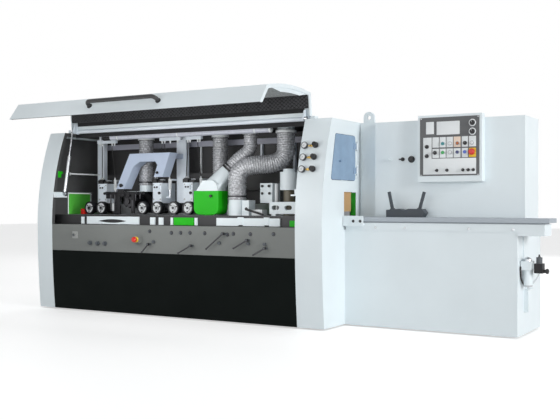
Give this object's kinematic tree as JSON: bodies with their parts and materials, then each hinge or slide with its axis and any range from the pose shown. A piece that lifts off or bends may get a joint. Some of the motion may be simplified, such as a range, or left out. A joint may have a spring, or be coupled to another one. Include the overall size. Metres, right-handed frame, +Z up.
{
  "type": "four sided moulder",
  "caption": "Four sided moulder with its hood open: bowed white casing, feed rollers, cutter heads, extraction hoses, infeed table, cabinet and control box.",
  "frame": {"origin": "on the floor under the middle of the whole machine's box", "axes": "+X towards the infeed end, +Y from the operator's side to the back, +Z up"},
  "size_m": [4.64, 1.702, 1.8948],
  "materials": {
    "panel_paint": "satin",
    "dark_paint": "satin",
    "strip_paint": "satin",
    "lining_paint": "matte",
    "casting_paint": "satin",
    "guard_paint": "satin",
    "bed_iron": "ground",
    "bright_steel": "ground",
    "zinc_steel": "plated",
    "hose_foil": "matte",
    "foam": "quilted",
    "black_plastic": "satin",
    "tinted_pane": "gloss",
    "red_plastic": "gloss",
    "green_plastic": "gloss",
    "teal_plastic": "gloss",
    "navy_plastic": "gloss",
    "blue_plastic": "gloss"
  },
  "bodies": {
    "frame": {"base_frame": "dark_paint", "levelling_feet": "bright_steel", "left_end_panel": "panel_paint", "right_end_panel": "panel_paint", "chamber_lining": "lining_paint", "lower_front_panel": "dark_paint", "control_strip": "strip_paint", "bed": "bed_iron", "bed_edge_plates": "panel_paint", "fence": "bright_steel", "rear_casing": "panel_paint", "overhead_frame": "casting_paint", "spindle_motors": "dark_paint", "arch_hood": "casting_paint", "green_guards": "guard_paint", "extraction_pipes": "panel_paint", "extraction_hoses": "hose_foil", "infeed_base": "panel_paint", "electrical_cabinet": "panel_paint", "control_box": "panel_paint", "control_fascia": "strip_paint", "pressure_gauges": "black_plastic", "air_service_unit": "panel_paint", "infeed_side_guide": "panel_paint", "strip_controls": "black_plastic"},
    "hood": {"hood_shell": "panel_paint", "hood_lining": "foam", "hood_handle": "black_plastic", "hood_pivot": "casting_paint"},
    "lift_barrels": {"lift_barrels": "dark_paint"},
    "lift_rods": {"lift_rods": "bright_steel"},
    "infeed_table": {"infeed_table": "bed_iron", "lever_bracket": "dark_paint"},
    "feed_unit_1": {"feed_unit_1": "casting_paint"},
    "feed_unit_2": {"feed_unit_2": "casting_paint"},
    "feed_unit_3": {"feed_unit_3": "casting_paint"},
    "bottom_spindle": {"bottom_spindle": "bright_steel"},
    "near_spindle": {"near_spindle": "bright_steel"},
    "fence_spindle": {"fence_spindle": "bright_steel"},
    "top_spindle": {"top_spindle": "bright_steel"},
    "clamp_lever_1": {"clamp_lever_1": "black_plastic"},
    "clamp_lever_2": {"clamp_lever_2": "black_plastic"},
    "clamp_lever_3": {"clamp_lever_3": "black_plastic"},
    "clamp_lever_4": {"clamp_lever_4": "black_plastic"},
    "clamp_lever_5": {"clamp_lever_5": "black_plastic"},
    "strip_stop_button": {"strip_stop_button": "red_plastic"},
    "panel_stop_button": {"panel_stop_button": "red_plastic"},
    "green_button": {"green_button": "green_plastic"},
    "teal_button": {"teal_button": "teal_plastic"},
    "navy_button": {"navy_button": "navy_plastic"},
    "blue_button": {"blue_button": "blue_plastic"},
    "window_door": {"window_door": "tinted_pane"},
    "outfeed_flap": {"outfeed_flap": "guard_paint"},
    "kickback_fingers": {"kickback_fingers": "zinc_steel"},
    "feed_roller_1": {"feed_roller_1": "bright_steel"},
    "feed_roller_2": {"feed_roller_2": "bright_steel"},
    "feed_roller_3": {"feed_roller_3": "bright_steel"},
    "feed_roller_4": {"feed_roller_4": "bright_steel"},
    "feed_roller_5": {"feed_roller_5": "bright_steel"},
    "feed_roller_6": {"feed_roller_6": "bright_steel"}
  },
  "joints": [
    {"name": "hood_hinge", "type": "hinge", "parent": "frame", "child": "hood", "pos_m": [0, -0.04401, 1.664], "axis": [1, 0, 0], "range_deg": [0, 80]},
    {"name": "lift_lean", "type": "hinge", "parent": "frame", "child": "lift_barrels", "pos_m": [0, -0.19901, 1.075], "axis": [1, 0, 0], "range_deg": [-5.06, 0]},
    {"name": "lift_stroke", "type": "slide", "parent": "lift_barrels", "child": "lift_rods", "axis": [0, 0.1755, 0.9845], "range_m": [-0.03905, 0]},
    {"name": "feed_lift_1", "type": "slide", "parent": "frame", "child": "feed_unit_1", "axis": [0, 0, 1], "range_m": [0, 0.06]},
    {"name": "feed_lift_2", "type": "slide", "parent": "frame", "child": "feed_unit_2", "axis": [0, 0, 1], "range_m": [0, 0.06]},
    {"name": "feed_lift_3", "type": "slide", "parent": "frame", "child": "feed_unit_3", "axis": [0, 0, 1], "range_m": [0, 0.06]},
    {"name": "roller_spin_1", "type": "hinge", "parent": "feed_unit_1", "child": "feed_roller_1", "pos_m": [-2.044, 0.09399, 0.941], "axis": [0, 1, 0], "continuous": true},
    {"name": "roller_spin_2", "type": "hinge", "parent": "feed_unit_1", "child": "feed_roller_2", "pos_m": [-1.894, 0.09399, 0.941], "axis": [0, 1, 0], "continuous": true},
    {"name": "roller_spin_3", "type": "hinge", "parent": "feed_unit_2", "child": "feed_roller_3", "pos_m": [-1.39, 0.09399, 0.941], "axis": [0, 1, 0], "continuous": true},
    {"name": "roller_spin_4", "type": "hinge", "parent": "feed_unit_2", "child": "feed_roller_4", "pos_m": [-1.22, 0.09399, 0.941], "axis": [0, 1, 0], "continuous": true},
    {"name": "roller_spin_5", "type": "hinge", "parent": "feed_unit_3", "child": "feed_roller_5", "pos_m": [-1.03, 0.09399, 0.941], "axis": [0, 1, 0], "continuous": true},
    {"name": "roller_spin_6", "type": "hinge", "parent": "feed_unit_3", "child": "feed_roller_6", "pos_m": [-0.867, 0.09399, 0.941], "axis": [0, 1, 0], "continuous": true},
    {"name": "bottom_spin", "type": "hinge", "parent": "frame", "child": "bottom_spindle", "pos_m": [0.16, 0.17099, 0.8175], "axis": [0, 1, 0], "continuous": true},
    {"name": "top_spin", "type": "hinge", "parent": "frame", "child": "top_spindle", "pos_m": [-1.56, 0.17099, 1.0005], "axis": [0, 1, 0], "continuous": true},
    {"name": "near_spin", "type": "hinge", "parent": "frame", "child": "near_spindle", "pos_m": [-0.515, 0.00599, 0.94], "axis": [0, 0, 1], "continuous": true},
    {"name": "fence_spin", "type": "hinge", "parent": "frame", "child": "fence_spindle", "pos_m": [-0.73, 0.33149, 0.94], "axis": [0, 0, 1], "continuous": true},
    {"name": "clamp_turn_1", "type": "hinge", "parent": "frame", "child": "clamp_lever_1", "pos_m": [-0.968, -0.36201, 0.63], "axis": [0, 1, 0], "range_deg": [0, 45]},
    {"name": "clamp_turn_2", "type": "hinge", "parent": "frame", "child": "clamp_lever_2", "pos_m": [-0.516, -0.36201, 0.628], "axis": [0, 1, 0], "range_deg": [0, 60]},
    {"name": "clamp_turn_3", "type": "hinge", "parent": "frame", "child": "clamp_lever_3", "pos_m": [-0.192, -0.36201, 0.734], "axis": [0, 1, 0], "range_deg": [0, 60]},
    {"name": "clamp_turn_4", "type": "hinge", "parent": "frame", "child": "clamp_lever_4", "pos_m": [0.041, -0.36201, 0.685], "axis": [0, 1, 0], "range_deg": [0, 60]},
    {"name": "clamp_turn_5", "type": "hinge", "parent": "frame", "child": "clamp_lever_5", "pos_m": [0.208, -0.36201, 0.625], "axis": [0, 1, 0], "range_deg": [0, 60]},
    {"name": "table_height", "type": "slide", "parent": "frame", "child": "infeed_table", "axis": [0, 0, 1], "range_m": [0, 0.008]},
    {"name": "strip_stop_press", "type": "slide", "parent": "frame", "child": "strip_stop_button", "axis": [0, 1, 0], "range_m": [0, 0.004], "stiffness_N_per_m": 900},
    {"name": "panel_stop_press", "type": "slide", "parent": "frame", "child": "panel_stop_button", "axis": [0, 1, 0], "range_m": [0, 0.004], "stiffness_N_per_m": 900},
    {"name": "green_press", "type": "slide", "parent": "frame", "child": "green_button", "axis": [0, 1, 0], "range_m": [0, 0.004], "stiffness_N_per_m": 900},
    {"name": "teal_press", "type": "slide", "parent": "frame", "child": "teal_button", "axis": [0, 1, 0], "range_m": [0, 0.004], "stiffness_N_per_m": 900},
    {"name": "navy_press", "type": "slide", "parent": "frame", "child": "navy_button", "axis": [0, 1, 0], "range_m": [0, 0.004], "stiffness_N_per_m": 900},
    {"name": "blue_press", "type": "slide", "parent": "frame", "child": "blue_button", "axis": [0, 1, 0], "range_m": [0, 0.004], "stiffness_N_per_m": 900},
    {"name": "door_hinge", "type": "hinge", "parent": "frame", "child": "window_door", "pos_m": [0.716, 0.26499, 1.35], "axis": [0, 0, 1], "range_deg": [0, 80]},
    {"name": "flap_hinge", "type": "hinge", "parent": "frame", "child": "outfeed_flap", "pos_m": [-2.312, 0.21899, 1.073], "axis": [0, 1, 0], "range_deg": [0, 75]},
    {"name": "finger_hinge", "type": "hinge", "parent": "frame", "child": "kickback_fingers", "pos_m": [0.682, 0.13399, 1.079], "axis": [0, 1, 0], "range_deg": [0, 60]}
  ],
  "couplings": [
    {"joint": "lift_lean", "follows": "hood_hinge", "ratio": -0.063242},
    {"joint": "lift_stroke", "follows": "hood_hinge", "m_per_rad": -0.027965},
    {"joint": "roller_spin_2", "follows": "roller_spin_1", "ratio": 1},
    {"joint": "roller_spin_3", "follows": "roller_spin_1", "ratio": 1},
    {"joint": "roller_spin_4", "follows": "roller_spin_1", "ratio": 1},
    {"joint": "roller_spin_5", "follows": "roller_spin_1", "ratio": 1},
    {"joint": "roller_spin_6", "follows": "roller_spin_1", "ratio": 1}
  ]
}
